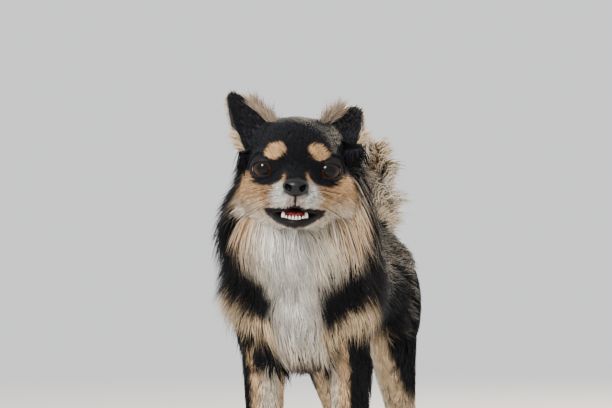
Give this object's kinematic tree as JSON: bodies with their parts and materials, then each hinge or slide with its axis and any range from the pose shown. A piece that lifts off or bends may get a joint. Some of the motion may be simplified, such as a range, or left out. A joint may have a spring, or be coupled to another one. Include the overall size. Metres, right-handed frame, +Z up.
{
  "type": "long-coated chihuahua",
  "caption": "Life-size model of a small long-haired dog standing on all fours, head turned to the viewer, mouth a little open.",
  "frame": {"origin": "on the floor under the middle of the dog's box", "axes": "+Z up, -Y the way the body faces, +X the dog's left"},
  "size_m": [0.125, 0.2748, 0.3045],
  "materials": {
    "coat_black": "long silky black coat",
    "coat_tan": "tan coat",
    "coat_cream": "cream to white coat",
    "nose_leather": "moist pebbled black nose leather",
    "eye": "wet dark brown eye",
    "tongue": "moist pink tongue"
  },
  "bodies": {
    "root": {"head": "coat_black", "nose": "nose_leather", "lower_jaw": "coat_cream", "tongue": "tongue", "eye_left": "eye", "eye_right": "eye", "ear_left": "coat_black", "ear_right": "coat_black", "neck": "coat_black", "torso": "coat_black", "foreleg_left": "coat_tan", "foreleg_right": "coat_tan", "forepaw_left": "coat_tan", "forepaw_right": "coat_tan", "hindleg_left": "coat_black", "hindleg_right": "coat_black", "hindpaw_left": "coat_tan", "hindpaw_right": "coat_tan", "tail_root": "coat_cream", "tail_tip": "coat_cream"}
  },
  "joints": []
}
